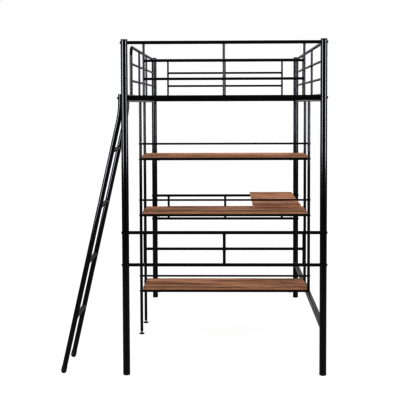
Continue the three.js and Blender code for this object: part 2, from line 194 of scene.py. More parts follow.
class Shader(Nodes):
    """One material's nodes."""

    def __init__(self, name):
        self.material = bpy.data.materials.new(name)
        self.material.use_nodes = True
        super().__init__(self.material.node_tree)
        self.surface = self.tree.nodes["Principled BSDF"]

    def finish(self, **sockets):
        """Fills the surface's sockets and returns the material."""
        for name, value in sockets.items():
            self.put(self.surface.inputs[name.replace("_", " ")], value)
        return self.material


def set_stops(ramp, stops):
    while len(ramp.elements) < len(stops):
        ramp.elements.new(1.0)
    for element, (position, colour) in zip(ramp.elements, stops):
        element.position = position
        element.color = colour


def colour(red, green, blue):
    return (red, green, blue, 1.0)


def powder_coat():
    """Semi-gloss black powder coat: orange peel, slight cloudiness and a little dust."""
    s = Shader("black_powder_coat")
    place = s.place()
    cloud = s.noise(place, 9, 3, 0.55)
    peel = s.noise(place, 420, 2, 0.5)
    tone = s.blend(cloud, colour(0.004, 0.004, 0.006), colour(0.009, 0.009, 0.012))
    return s.finish(
        Base_Color=tone,
        Roughness=0.11 + cloud * 0.05 + peel * 0.03,
        Normal=s.bump(peel, 0.01 * MM, 0.5),
        Metallic=0.0,
        IOR=1.5,
    )


def moulded_plastic():
    """Black plastic with a fine spark-eroded texture."""
    s = Shader("black_moulded_plastic")
    place = s.place()
    grain = s.noise(place, 1800, 2, 0.6)
    cloud = s.noise(place, 30, 2, 0.5)
    return s.finish(
        Base_Color=s.blend(cloud, colour(0.008, 0.008, 0.009), colour(0.016, 0.016, 0.017)),
        Roughness=0.5 + grain * 0.14,
        Normal=s.bump(grain, 0.15 * MM, 0.6),
        IOR=1.48,
    )


def black_oxide():
    """Oiled black oxide on the bolts."""
    s = Shader("black_oxide_steel")
    place = s.place()
    cloud = s.noise(place, 120, 3, 0.6)
    wear = s.noise(place, 420, 3, 0.6).between(0.56, 0.74)
    return s.finish(
        Base_Color=s.blend(wear, colour(0.018, 0.018, 0.02), colour(0.06, 0.058, 0.056)),
        Roughness=0.3 + cloud * 0.16,
        Metallic=0.6 + wear * 0.3,
        Normal=s.bump(cloud, 0.1 * MM, 0.4),
    )


GRAIN_STRETCH = (1.5, 24, 24)


def woodgrain(name, shift):
    """Rustic brown woodgrain laminate. Its grain runs across the bed; shift picks a part of it."""
    s = Shader(name)
    moved = s.add("ShaderNodeVectorMath", {"operation": "ADD"}, {0: s.place(), 1: shift})
    place = s.add("ShaderNodeVectorMath", {"operation": "MULTIPLY"}, {0: moved, 1: GRAIN_STRETCH})
    sway = s.noise(place, 0.6, 3, 0.55)
    broad = s.noise(place, 1.1, 4, 0.6, 0.6)
    fibre = s.noise(place, 9, 5, 0.65)
    pore = s.noise(place, 34, 2, 0.6).between(0.58, 0.7)
    figure = (sway * 46 + broad * 5).sine() * 0.5 + 0.5
    tone = (broad - 0.5) * 1.1 + (figure - 0.5) * 0.26 + (fibre - 0.5) * 0.7 + 0.52
    grain = s.ramp(
        tone,
        [
            (0.30, colour(0.101, 0.048, 0.026)),
            (0.45, colour(0.201, 0.107, 0.062)),
            (0.60, colour(0.307, 0.176, 0.110)),
            (0.76, colour(0.456, 0.288, 0.190)),
        ],
    )
    return s.finish(
        Base_Color=s.blend(pore * 0.5, grain, colour(0.064, 0.031, 0.018)),
        Roughness=0.5 + fibre * 0.14 + pore * 0.12,
        Normal=s.bump(fibre * 0.6 - pore * 0.7, 0.18 * MM, 0.5),
        Specular_IOR_Level=0.2,
    )


def edge_band():
    """The thin band glued round a board's edges."""
    s = Shader("board_edge_band")
    streak = s.noise(s.place((14, 14, 160)), 1, 4, 0.6)
    fine = s.noise(s.place((60, 60, 900)), 1, 3, 0.6)
    tone = streak * 0.6 + fine * 0.4
    return s.finish(
        Base_Color=s.blend(
            tone.between(0.3, 0.7), colour(0.45, 0.245, 0.140), colour(0.61, 0.370, 0.230)
        ),
        Roughness=0.44 + fine * 0.12,
        Normal=s.bump(fine, 0.1 * MM, 0.4),
    )


STEEL = powder_coat()
PLASTIC = moulded_plastic()
OXIDE = black_oxide()
BOARD_EDGE = edge_band()
GRAIN_ACROSS = woodgrain("woodgrain_across_bed", (0.3, 0.1, 0))
GRAIN_RETURN = woodgrain("woodgrain_return", (2.8, 0.75, 0))


# ---- Shapes ----


class Build:
    """The points and faces of one piece. Each face has the number of its finish."""

    def __init__(self):
        self.points = []
        self.faces = []
        self.finish_numbers = []

    def skin(self, rings, hubs=(None, None), finish=0, loop=False):
        """Joins rings of points with faces. A hub closes the ring at that end."""
        count = len(rings[0])
        points = [point for ring in rings for point in ring]
        faces = []
        for r in range(len(rings) if loop else len(rings) - 1):
            here = r * count
            there = (r + 1) % len(rings) * count
            for i in range(count):
                j = (i + 1) % count
                faces.append((here + i, here + j, there + j, there + i))
        for hub, first in zip(hubs, (0, (len(rings) - 1) * count)):
            if hub is None:
                continue
            faces += [(first + (i + 1) % count, first + i, len(points)) for i in range(count)]
            points.append(hub)
        start = len(self.points)
        self.points += points
        self.faces += [[start + i for i in face] for face in faces]
        self.finish_numbers += [finish] * len(faces)

    def piece(self, name, finishes, replaces=(), body=BED):
        """Makes the mesh and its object, which rides on a body and stands for CAD nodes."""
        mesh = bpy.data.meshes.new(name)
        mesh.from_pydata([tuple(point) for point in self.points], [], self.faces)
        for finish in finishes:
            mesh.materials.append(finish)
        mesh.polygons.foreach_set("material_index", self.finish_numbers)
        work = bmesh.new()
        work.from_mesh(mesh)
        bmesh.ops.recalc_face_normals(work, faces=work.faces)
        work.to_mesh(mesh)
        work.free()
        mesh.shade_smooth()
        mesh.set_sharp_from_angle(angle=SHARP_ANGLE)
        thing = bpy.data.objects.new(name, mesh)
        bpy.context.scene.collection.objects.link(thing)
        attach(thing, body)
        if replaces:
            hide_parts(*replaces)
        return thing


def round_section(radius, sides=TUBE_SIDES):
    turn = 2 * math.pi / sides
    return [(radius * math.cos(i * turn), radius * math.sin(i * turn)) for i in range(sides)]


def box_section(width, height, corner, steps=4):
    """A rectangle with rounded corners, about the origin."""
    points = []
    for quarter, (sx, sy) in enumerate(((1, 1), (-1, 1), (-1, -1), (1, -1))):
        x = sx * (width / 2 - corner)
        y = sy * (height / 2 - corner)
        for i in range(steps + 1):
            angle = (quarter + i / steps) * math.pi / 2
            points.append((x + corner * math.cos(angle), y + corner * math.sin(angle)))
    return points


def square_to(way):
    """Two directions square to a way and to each other. Where there is a choice the first is level."""
    other = UP if abs(way.z) < 0.9 else ALONG
    side = way.cross(other).normalized()
    return side, side.cross(way).normalized()


def pipe(spot, way, radius):
    """What a bar's end is coped to: a round pipe through a spot."""
    return spot, way.normalized(), radius


def meet(point, along, target):
    """Where a line from a point first meets a round pipe."""
    spot, way, radius = target
    off = point - spot
    off = off - way * off.dot(way)
    step = along - way * along.dot(way)
    a = step.dot(step)
    b = off.dot(step)
    c = off.dot(off) - radius * radius
    root = math.sqrt(max(b * b - a * c, 0))
    return point + along * ((-b - root) / a)


def weld(build, loop, radius=WELD_R, sides=6):
    """A weld bead along a closed loop, with the ripples of its stitches."""
    count = len(loop)
    centre = sum(loop, Vector()) / count
    rings = []
    for i, here in enumerate(loop):
        way = (loop[(i + 1) % count] - loop[i - 1]).normalized()
        out = here - centre
        out = (out - way * out.dot(way)).normalized()
        side = way.cross(out)
        size = radius * (1 + WELD_RIPPLE * (-1) ** (i // 2))
        turns = [2 * math.pi * k / sides for k in range(sides)]
        rings.append([here + out * size * math.cos(t) + side * size * math.sin(t) for t in turns])
    build.skin(rings, loop=True)


def bar(build, start, end, section, meets=(None, None), welds=(0, 0), finish=0):
    """A straight bar between two points. An end is cut square, or coped to the pipe it meets."""
    way = (end - start).normalized()
    side, up = square_to(way)
    middle = (start + end) / 2
    outline = [middle + side * u + up * v for u, v in section]
    rings = []
    hubs = []
    for at, along, target, bead in zip((start, end), (-way, way), meets, welds):
        sink = WELD_SINK if bead else 0
        if target is None:
            surface = [point + at - middle for point in outline]
            rings.append([point + along * sink for point in surface])
            hubs.append(at + along * sink)
        else:
            spot, axis, radius = target
            surface = [meet(point, along, target) for point in outline]
            inner = (spot, axis, radius - sink)
            rings.append([meet(point, along, inner) for point in outline])
            hubs.append(meet(middle, along, inner))
        if bead:
            out = bead * WELD_OUT
            weld(build, [point + (point - at).normalized() * out for point in surface], bead)
    build.skin(rings, hubs, finish)


def bent(build, route, radius, across, sides=TUBE_SIDES, finish=0, ends=(True, True)):
    """A round tube along a flat route of points; across is square to the route's plane."""
    rings = []
    for i, here in enumerate(route):
        way = route[min(i + 1, len(route) - 1)] - route[max(i - 1, 0)]
        out = across.cross(way.normalized())
        rings.append([here + across * u + out * v for u, v in round_section(radius, sides)])
    hubs = [route[0] if ends[0] else None, route[-1] if ends[1] else None]
    build.skin(rings, hubs, finish)


def turned(build, outline, foot, axis=UP, sides=POST_SIDES, hexagon=(), finish=0):
    """Turns an outline of (radius, height) points. The numbered points in hexagon make six-sided rings."""
    side, up = square_to(axis)
    rings = []
    hubs = [None, None]
    for n, (radius, height) in enumerate(outline):
        centre = foot + axis * height
        if radius == 0:
            hubs[0 if n == 0 else 1] = centre
            continue
        ring = []
        for i in range(sides):
            angle = 2 * math.pi * i / sides
            reach = radius
            if n in hexagon:
                reach /= math.cos((angle + math.pi / 6) % (math.pi / 3) - math.pi / 6)
            ring.append(centre + side * reach * math.cos(angle) + up * reach * math.sin(angle))
        rings.append(ring)
    build.skin(rings, hubs, finish)


def arc(centre, radius, start, stop, steps):
    """Points of an arc as (x, y), with angles in degrees."""
    points = []
    for i in range(steps + 1):
        angle = math.radians(start + (stop - start) * i / steps)
        points.append((centre[0] + radius * math.cos(angle), centre[1] + radius * math.sin(angle)))
    return points


def slab(build, low, high, corner, edge):
    """A board: finish 0 on its faces, finish 1 on the band round its edges."""
    centre = (low + high) / 2
    size = high - low
    rings = []
    for inset, z in ((edge, low.z), (0, low.z + edge), (0, high.z - edge), (edge, high.z)):
        section = box_section(size.x - 2 * inset, size.y - 2 * inset, corner - inset)
        rings.append([Vector((centre.x + x, centre.y + y, z)) for x, y in section])
    bottom = Vector((centre.x, centre.y, low.z))
    top = Vector((centre.x, centre.y, high.z))
    build.skin(rings[:2], (bottom, None), 0)
    build.skin(rings[1:3], finish=1)
    build.skin(rings[2:], (None, top), 0)


def middle_of(node):
    low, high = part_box(node)
    return (low + high) / 2


def on_floor(spot):
    return Vector((spot.x, spot.y, 0))


def quarter(steps):
    """The angles of a quarter turn."""
    return [i / steps * math.pi / 2 for i in range(steps + 1)]


def bevelled(radius, low, high, edge):
    """The outline of a cylinder with both ends bevelled, as (radius, height) points."""
    sides = [(radius - edge, low), (radius, low + edge), (radius, high - edge), (radius - edge, high)]
    return [(0, low), *sides, (0, high)]


# ---- Levels and places from the CAD ----

POSTS = {(end, side): middle_of(f"post_{end}_{side}") for end in ENDS for side in SIDES}
FOOT_Y = POSTS["foot", "left"].y
HEAD_Y = POSTS["head", "left"].y
LEFT_X = POSTS["foot", "left"].x
RIGHT_X = POSTS["foot", "right"].x
CENTRE_X = (LEFT_X + RIGHT_X) / 2
UPRIGHTS_X = (LEFT_X + PANEL_INSET, CENTRE_X, RIGHT_X - PANEL_INSET)
SIDE_X = {"left": LEFT_X, "right": RIGHT_X}
OUTWARDS = {"left": -ACROSS, "right": ACROSS}
END_Y = {"foot": FOOT_Y, "head": HEAD_Y}
GUARD_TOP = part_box("guard_right")[1].z - RAIL_R
PLATFORM = middle_of("platform_rail_right").z
LOW_PANEL = (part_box("lower_panel_foot")[0].z + RAIL_R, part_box("lower_panel_foot")[1].z - RAIL_R)


def post_pipe(end, side):
    at = POSTS[end, side]
    return pipe(at, UP, POST_R + GAP)


# ---- Bolts ----


# Each kind of head: its radius, its height and how far it is let in to what it holds.
POST_HEAD = (6.5 * MM, 3.6 * MM, 1.6 * MM)
LEG_HEAD = (4.6 * MM, 2.6 * MM, 1.8 * MM)
SCREW_HEAD = (4.2 * MM, 2.4 * MM, 1.6 * MM)
LADDER_HEAD = (6.5 * MM, 4.3 * MM, 2 * MM)
SCREW_SPREAD = 397 * MM
LEG_BELOW_BOLT = 8 * MM


def bolt_head(build, spot, axis, head):
    """A button head with a hexagon socket."""
    radius, height, sunk = head
    socket = radius * 0.42
    outline = [
        (0, -sunk),
        (radius * 0.96, -sunk),
        (radius, 0),
        (radius, height * 0.22),
        (radius * 0.95, height * 0.48),
        (radius * 0.83, height * 0.74),
        (radius * 0.66, height * 0.93),
        (radius * 0.54, height),
        (socket, height),
        (socket * 0.96, height * 0.3),
        (0, height * 0.3),
    ]
    socket_points = (8, 9)
    turned(build, outline, spot, axis, SMALL_SIDES, hexagon=socket_points)


def post_bolts(end, side):
    """Bolts through the post into the end panels' rails."""
    at = POSTS[end, side]
    out = OUTWARDS[side]
    build = Build()
    for z in (GUARD_TOP, PLATFORM, LOW_PANEL[1], LOW_PANEL[0]):
        bolt_head(build, Vector((at.x, at.y, z)) + out * POST_R, out, POST_HEAD)
    build.piece(f"post_bolts_{end}_{side}", [OXIDE])


# ---- Posts ----


POST_EDGE = 0.4 * MM
PLUG_R = POST_R - POST_WALL - 0.4 * MM
TOP_LIP = 4 * MM
TOP_CORNER = 1.6 * MM
TOP_CROWN = 0.6 * MM
SHOE_RIM = 12 * MM
SHOE_CORNER = 5 * MM
SHOE_BEVEL = 0.8 * MM
SHOE_HOLLOW = 1.2 * MM


def post(end, side):
    """An open tube with its sharp edges broken."""
    node = f"post_{end}_{side}"
    low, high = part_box(node)
    at = POSTS[end, side]
    outline = bevelled(POST_R, low.z, high.z, POST_EDGE)[1:-1]
    outline += [(POST_R - POST_WALL, high.z), (POST_R - POST_WALL, low.z)]
    rings = []
    for radius, z in outline:
        section = round_section(radius, POST_SIDES)
        rings.append([Vector((at.x + x, at.y + y, z)) for x, y in section])
    build = Build()
    build.skin(rings, loop=True)
    build.piece(f"post_tube_{end}_{side}", [STEEL], [node])


def post_top(end, side):
    """A flat plug in the post's top, with a rounded rim."""
    node = f"post_cap_{end}_{side}"
    low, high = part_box(node)
    rim = high.z - TOP_LIP
    outline = [(0, low.z), (PLUG_R - MM, low.z), (PLUG_R, low.z + MM), (PLUG_R, rim)]
    outline.append((POST_R - GAP, rim))
    for a in quarter(6):
        round_z = high.z - TOP_CROWN - TOP_CORNER + TOP_CORNER * math.sin(a)
        outline.append((POST_R - TOP_CORNER + TOP_CORNER * math.cos(a), round_z))
    outline += [(POST_R * 0.6, high.z - TOP_CROWN / 4), (0, high.z)]
    build = Build()
    turned(build, outline, on_floor(POSTS[end, side]))
    build.piece(f"post_plug_{end}_{side}", [PLASTIC], [node])


def post_shoe(end, side):
    """A plug in the post's foot, with a rounded sole that is hollow in its middle."""
    node = f"foot_cap_{end}_{side}"
    low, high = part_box(node)
    radius = (high.x - low.x) / 2
    outline = [(0, SHOE_HOLLOW), (radius - 8 * MM, SHOE_HOLLOW), (radius - 8.6 * MM, 0)]
    for a in quarter(7):
        sole_r = radius - SHOE_CORNER + SHOE_CORNER * math.sin(a)
        outline.append((sole_r, SHOE_CORNER - SHOE_CORNER * math.cos(a)))
    outline += [(radius, SHOE_RIM - SHOE_BEVEL), (radius - SHOE_BEVEL, SHOE_RIM), (PLUG_R, SHOE_RIM)]
    outline += [(PLUG_R, high.z - 2 * MM), (PLUG_R - 1.5 * MM, high.z), (0, high.z)]
    build = Build()
    turned(build, outline, on_floor(POSTS[end, side]))
    build.piece(f"post_shoe_{end}_{side}", [PLASTIC], [node])


# ---- End panels ----


def at_end(end, x, z):
    return Vector((x, END_Y[end], z))


def across_rail(build, end, z, section):
    """A rail from post to post across the bed."""
    meets = (post_pipe(end, "left"), post_pipe(end, "right"))
    bar(build, at_end(end, LEFT_X, z), at_end(end, RIGHT_X, z), section, meets)


def short_rails(build, end, levels, radius, upright_r):
    """Short rails between the uprights, each welded at both ends."""
    for z in levels:
        for places in zip(UPRIGHTS_X, UPRIGHTS_X[1:]):
            ends = [at_end(end, x, z) for x in places]
            meets = [pipe(spot, UP, upright_r) for spot in ends]
            bar(build, *ends, round_section(radius), meets, (WELD_R, WELD_R))


def upper_panel(end):
    """The top rail, the platform's end rail, and the bars between them."""
    build = Build()
    across_rail(build, end, GUARD_TOP, round_section(RAIL_R))
    across_rail(build, end, PLATFORM, box_section(*END_RAIL, RAIL_CORNER))
    rail_top = PLATFORM + END_RAIL[1] / 2
    top_pipe = pipe(at_end(end, CENTRE_X, GUARD_TOP), ACROSS, RAIL_R)
    for x in UPRIGHTS_X:
        ends = (at_end(end, x, rail_top), at_end(end, x, GUARD_TOP))
        bar(build, *ends, round_section(BAR_R), (None, top_pipe), (WELD_R, WELD_R))
    short_rails(build, end, (GUARD_TOP - GUARD_PITCH, GUARD_TOP - 2 * GUARD_PITCH), BAR_R, BAR_R)
    saddle(build, end)
    build.piece(f"end_panel_upper_{end}", [STEEL], [f"upper_panel_{end}"])


def saddle(build, end):
    """The plate on the end rail that the slats' beam lies on."""
    inwards = ALONG if end == "foot" else -ALONG
    width, thick, reach = SADDLE
    middle = at_end(end, CENTRE_X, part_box("slat_beam")[0].z - GAP - thick / 2)
    face = END_RAIL[0] / 2
    start = middle + inwards * (face - WELD_SINK)
    stop = middle + inwards * (face + reach)
    bar(build, start, stop, box_section(width, thick, PLATE_CORNER, 2))


def lower_panel(end):
    """Two rails with three uprights and one row of short rails between them."""
    build = Build()
    for z in LOW_PANEL:
        across_rail(build, end, z, round_section(RAIL_R))
    pipes = [pipe(at_end(end, CENTRE_X, z), ACROSS, RAIL_R) for z in LOW_PANEL]
    for x in UPRIGHTS_X:
        ends = [at_end(end, x, z) for z in LOW_PANEL]
        bar(build, *ends, round_section(LOW_BAR_R), pipes, (WELD_R, WELD_R))
    short_rails(build, end, [sum(LOW_PANEL) / 2], LOW_SHORT_RAIL_R, LOW_BAR_R)
    build.piece(f"end_panel_lower_{end}", [STEEL], [f"lower_panel_{end}"])


# ---- Long rails and guards ----


def long_bar(build, side, z, section):
    """A bar from post to post along the bed."""
    meets = [post_pipe(end, side) for end in ENDS]
    spots = [Vector((SIDE_X[side], END_Y[end], z)) for end in ENDS]
    bar(build, *spots, section, meets)


STITCH_COUNT = 9
STITCH_LENGTH = 30 * MM
STITCH_STEPS = 12
LEDGE_IN_FACE = 0.2 * MM


def platform_rail(side):
    """A side rail with the ledge that the slats lie on, which is welded in short stitches."""
    build = Build()
    long_bar(build, side, PLATFORM, box_section(*SIDE_RAIL, RAIL_CORNER))
    inwards = 1 if side == "left" else -1
    face = SIDE_X[side] + inwards * SIDE_RAIL[0] / 2
    ledge_x = face + inwards * (LEDGE[0] / 2 - LEDGE_IN_FACE)
    ledge_z = PLATFORM + LEDGE_UP - LEDGE[1] / 2
    clear = POST_R + SIDE_RAIL[0]
    start = Vector((ledge_x, FOOT_Y + clear, ledge_z))
    stop = Vector((ledge_x, HEAD_Y - clear, ledge_z))
    bar(build, start, stop, box_section(*LEDGE, PLATE_CORNER, 2))
    for i in range(STITCH_COUNT):
        y = start.y + (stop.y - start.y) * (i + 0.5) / STITCH_COUNT
        stitch(build, Vector((face, y, ledge_z - LEDGE[1] / 2)), STITCH_LENGTH)
    build.piece(f"platform_side_rail_{side}", [STEEL], [f"platform_rail_{side}"])


def stitch(build, middle, length):
    """A short weld bead along the bed."""
    rings = []
    for i in range(STITCH_STEPS + 1):
        share = i / STITCH_STEPS
        size = WELD_R * (0.35 + 0.65 * math.sin(math.pi * share) ** 0.4) * (1 + 0.1 * (-1) ** i)
        centre = middle + ALONG * length * (share - 0.5)
        rings.append([centre + ACROSS * u + UP * v for u, v in round_section(size, 8)])
    ends = [middle - ALONG * length / 2, middle + ALONG * length / 2]
    build.skin(rings, ends)


def lower_side_rail():
    build = Build()
    long_bar(build, "right", middle_of("lower_side_rail").z, box_section(*SIDE_RAIL, RAIL_CORNER))
    build.piece("low_side_rail", [STEEL], ["lower_side_rail"])


def guard_uprights(build, side):
    """Two uprights, welded to the platform rail and the top rail."""
    rail_top = PLATFORM + SIDE_RAIL[1] / 2
    top_pipe = pipe(Vector((SIDE_X[side], 0, GUARD_TOP)), ALONG, RAIL_R)
    for y in GUARD_BARS[side]:
        start = Vector((SIDE_X[side], FOOT_Y + y, rail_top))
        stop = Vector((SIDE_X[side], FOOT_Y + y, GUARD_TOP))
        bar(build, start, stop, round_section(BAR_R), (None, top_pipe), (WELD_R, WELD_R))


def guard_rails(build, side, first):
    """The two lower rails, from one upright to the next. first is the pipe at the foot end."""
    x = SIDE_X[side]
    stops = [pipe(Vector((x, FOOT_Y + y, 0)), UP, BAR_R) for y in GUARD_BARS[side]]
    stops = [first, *stops, post_pipe("head", side)]
    for level in (1, 2):
        z = GUARD_TOP - level * GUARD_PITCH
        for n, (near, far) in enumerate(zip(stops, stops[1:])):
            start = Vector((x, near[0].y, z))
            stop = Vector((x, far[0].y, z))
            beads = (WELD_R if n or side == "left" else 0, WELD_R if n < len(stops) - 2 else 0)
            bar(build, start, stop, round_section(BAR_R), (near, far), beads)


def guard_right():
    build = Build()
    long_bar(build, "right", GUARD_TOP, round_section(RAIL_R))
    guard_uprights(build, "right")
    guard_rails(build, "right", post_pipe("foot", "right"))
    build.piece("guard_wall_side", [STEEL], ["guard_right"])


def guard_left():
    """Its first leg bends into the top rail and leaves the ladder's entry open."""
    build = Build()
    leg_y = FOOT_Y + LADDER_ENTRY
    rail_top = PLATFORM + SIDE_RAIL[1] / 2
    bend = arc((leg_y + GUARD_BEND, GUARD_TOP - GUARD_BEND), GUARD_BEND, 180, 90, GUARD_BEND_STEPS)
    joint = Vector((LEFT_X, bend[-1][0] + GUARD_TAIL, GUARD_TOP))
    foot = Vector((LEFT_X, leg_y, rail_top - WELD_SINK))
    route = [foot, *[Vector((LEFT_X, y, z)) for y, z in bend], joint]
    bent(build, route, RAIL_R, ACROSS, ends=(True, False))
    head = post_pipe("head", "left")
    ring = [joint + ACROSS * u + UP * v for u, v in round_section(RAIL_R)]
    far = [meet(point, ALONG, head) for point in ring]
    build.skin([ring, far], (None, meet(joint, ALONG, head)))
    section = round_section(RAIL_R + 0.3 * MM)
    weld(build, [foot + UP * WELD_SINK + ACROSS * u + ALONG * v for u, v in section])
    guard_uprights(build, "left")
    guard_rails(build, "left", pipe(Vector((LEFT_X, leg_y, 0)), UP, RAIL_R))
    build.piece("guard_ladder_side", [STEEL], ["guard_left"])


# ---- Slats ----


SLAT_CORNER = 2 * MM
END_PLUG = 6 * MM
END_PLUG_LIP = 1.5 * MM
END_PLUG_INSET = 0.3 * MM


def slat(node, name, along):
    """A flat tube with a plastic plug in each end."""
    low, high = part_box(node)
    centre = (low + high) / 2
    size = high - low
    length, width = (size.y, size.x) if along == ALONG else (size.x, size.y)
    half = length / 2
    inset = 2 * END_PLUG_INSET
    section = box_section(width, size.z, SLAT_CORNER, 3)
    plug = box_section(width - inset, size.z - inset, SLAT_CORNER - END_PLUG_INSET, 3)
    tube = along * (half - END_PLUG_LIP)
    build = Build()
    bar(build, centre - tube, centre + tube, section)
    for way in (-along, along):
        bar(build, centre + way * (half - END_PLUG), centre + way * half, plug, finish=1)
    build.piece(name, [STEEL, PLASTIC], [node])


# ---- Shelf unit ----


LEG_EDGE = 0.5 * MM
STEM_R = 4 * MM
STEM_HOLE_R = 4.4 * MM
STEM_HOLE_DEPTH = 3 * MM
THREAD_PITCH = 1.25 * MM
THREAD_DEPTH = 0.5 * MM
DISC_TOP = 5 * MM
BOARD_CORNER = 3 * MM
BOARD_BEVEL = 0.8 * MM


def leg(row, side):
    """A leg of the shelf unit. The left ones have a hole for a levelling foot's stem."""
    node = f"shelf_leg_{row}_{side}"
    low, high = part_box(node)
    outline = bevelled(RAIL_R, low.z, high.z, LEG_EDGE)
    if side == "left":
        hole_top = low.z + STEM_HOLE_DEPTH
        outline[0:1] = [(0, hole_top), (STEM_HOLE_R, hole_top), (STEM_HOLE_R, low.z)]
    build = Build()
    turned(build, outline, on_floor(middle_of(node)), sides=TUBE_SIDES)
    build.piece(f"leg_{row}_{side}", [STEEL], [node])


def leg_bolts(row, side):
    """Bolts through the leg into the shelf rails and, on the back legs, the stop rails."""
    at = middle_of(f"shelf_leg_{row}_{side}")
    out = OUTWARDS[side]
    nodes = [f"{shelf}_rail_{row}" for shelf in SHELVES]
    if row == "back":
        nodes += [f"{shelf}_stop_rail" for shelf in SHELVES]
    leg_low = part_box(f"shelf_leg_{row}_{side}")[0].z
    build = Build()
    for node in nodes:
        z = middle_of(node).z
        if z > leg_low + LEG_BELOW_BOLT:
            spot = Vector((at.x, at.y, z)) + out * RAIL_R
            bolt_head(build, spot, out, LEG_HEAD)
    build.piece(f"leg_bolts_{row}_{side}", [OXIDE])


def shelf_rail(node, row):
    """A rail from leg to leg. One that ends short of the right leg is cut square there."""
    low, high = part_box(node)
    at = (low + high) / 2
    legs = [middle_of(f"shelf_leg_{row}_{side}") for side in SIDES]
    meets = [pipe(spot, UP, RAIL_R + GAP) for spot in legs]
    start = Vector((legs[0].x, at.y, at.z))
    stop = Vector((legs[1].x, at.y, at.z))
    if stop.x - high.x > RAIL_R * 1.2:
        meets[1] = None
        stop.x = high.x
    build = Build()
    bar(build, start, stop, round_section((high.z - low.z) / 2), meets)
    name = node.replace("_rail_", "_bearer_").replace("_stop_rail", "_book_stop")
    build.piece(name, [STEEL], [node])


def board_screws(shelf):
    """Screws up through the two rails into the board."""
    build = Build()
    for row in ROWS:
        low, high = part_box(f"{shelf}_rail_{row}")
        y = (low.y + high.y) / 2
        for x in (CENTRE_X - SCREW_SPREAD, CENTRE_X + SCREW_SPREAD):
            bolt_head(build, Vector((x, y, low.z)), -UP, SCREW_HEAD)
    build.piece(f"{shelf}_screws", [OXIDE])


def board(node, name, grain):
    low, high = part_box(node)
    build = Build()
    slab(build, low, high, BOARD_CORNER, BOARD_BEVEL)
    build.piece(name, [grain, BOARD_EDGE], [node])


def levelling_foot(row):
    """A disc on a threaded stem. It rides on its own body."""
    node = f"levelling_foot_{row}"
    low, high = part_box(node)
    at = Vector(((low.x + high.x) / 2, (low.y + high.y) / 2, low.z))
    radius = (high.x - low.x) / 2
    root = STEM_R - THREAD_DEPTH
    top = high.z - low.z
    outline = [(0, 0), (radius - 1.2 * MM, 0), (radius, 1.2 * MM), (radius, 3 * MM)]
    outline += [(radius - 1.5 * MM, 4.6 * MM), (radius - 5 * MM, DISC_TOP)]
    outline += [(STEM_R * 1.8, DISC_TOP), (STEM_R * 1.6, DISC_TOP + 0.8 * MM), (root, DISC_TOP + MM)]
    height = DISC_TOP + 1.4 * MM
    while height < top - 2 * MM:
        outline += [(root, height), (STEM_R, height + THREAD_PITCH * 0.45)]
        height += THREAD_PITCH
    outline += [(root - 0.3 * MM, top), (0, top)]
    build = Build()
    turned(build, outline, at, sides=SMALL_SIDES)
    build.piece(f"levelling_disc_{row}", [PLASTIC], [node], node)


# ---- Ladder ----

LADDER_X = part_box("ladder_rail_outer")[1].x - LADDER_R
LADDER_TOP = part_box("ladder_rail_outer")[1].z
LADDER_FOOT_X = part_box("ladder_foot_outer")[0].x + LADDER_FOOT_R
BEND_SPOT = Vector((LADDER_X, 0, PLATFORM - LADDER_BEND))
FOOT_SPOT = Vector((LADDER_FOOT_X, 0, LADDER_FOOT_R))
LEAN = (BEND_SPOT - FOOT_SPOT).normalized()
BEND_STEPS = 16
LID_THICK = 1.2 * MM
BOOT_FLOOR = 2.4 * MM
BOOT_BAND_TOP = 18 * MM
BOOT_TOP = 24 * MM
GRIP_RINGS = (4 * MM, 8 * MM, 12 * MM)
GRIP_DEPTH = 0.4 * MM
SCREW_R = 2.9 * MM


def ladder_route(y):
    """From the flat top, round the bend, and down to just inside the foot."""
    aside = Vector((0, y, 0))
    upper = BEND_SPOT + UP * LADDER_BEND_REACH
    lower = BEND_SPOT - LEAN * LADDER_BEND_REACH
    route = []
    for i in range(BEND_STEPS + 1):
        t = i / BEND_STEPS
        route.append(upper * (1 - t) ** 2 + BEND_SPOT * 2 * t * (1 - t) + lower * t**2)
    foot = FOOT_SPOT + LEAN * (BOOT_FLOOR + 0.2 * MM)
    return [point + aside for point in (Vector((LADDER_X, 0, LADDER_TOP)), *route, foot)]


def ladder_rail(which):
    """A tube with a flat welded lid on its top."""
    node = f"ladder_rail_{which}"
    route = ladder_route(middle_of(node).y)
    route[0] -= UP * LID_THICK
    build = Build()
    bent(build, route, LADDER_R, ALONG, POST_SIDES, ends=(False, True))
    outline = [(LADDER_R, 0), (LADDER_R - LID_THICK * 0.3, LID_THICK * 0.7)]
    outline += [(LADDER_R - LID_THICK, LID_THICK), (0, LID_THICK)]
    turned(build, outline, route[0])
    build.piece(f"ladder_tube_{which}", [STEEL], [node])


def ladder_foot(which):
    """A rounded rubber boot with grip rings."""
    node = f"ladder_foot_{which}"
    radius = LADDER_FOOT_R
    root = radius - GRIP_DEPTH
    inner = LADDER_R + GAP
    outline = [(0, -radius)]
    for a in quarter(10)[1:]:
        outline.append((radius * math.sin(a), -radius * math.cos(a)))
    for height in GRIP_RINGS:
        outline += [(radius, height), (root, height + 0.6 * MM)]
        outline += [(root, height + 1.4 * MM), (radius, height + 2 * MM)]
    outline += [(radius, BOOT_BAND_TOP), (inner + 0.4 * MM, BOOT_TOP), (inner, BOOT_TOP)]
    outline += [(inner, BOOT_FLOOR), (0, BOOT_FLOOR)]
    build = Build()
    turned(build, outline, FOOT_SPOT + Vector((0, middle_of(node).y, 0)), LEAN)
    build.piece(f"ladder_boot_{which}", [PLASTIC], [node])


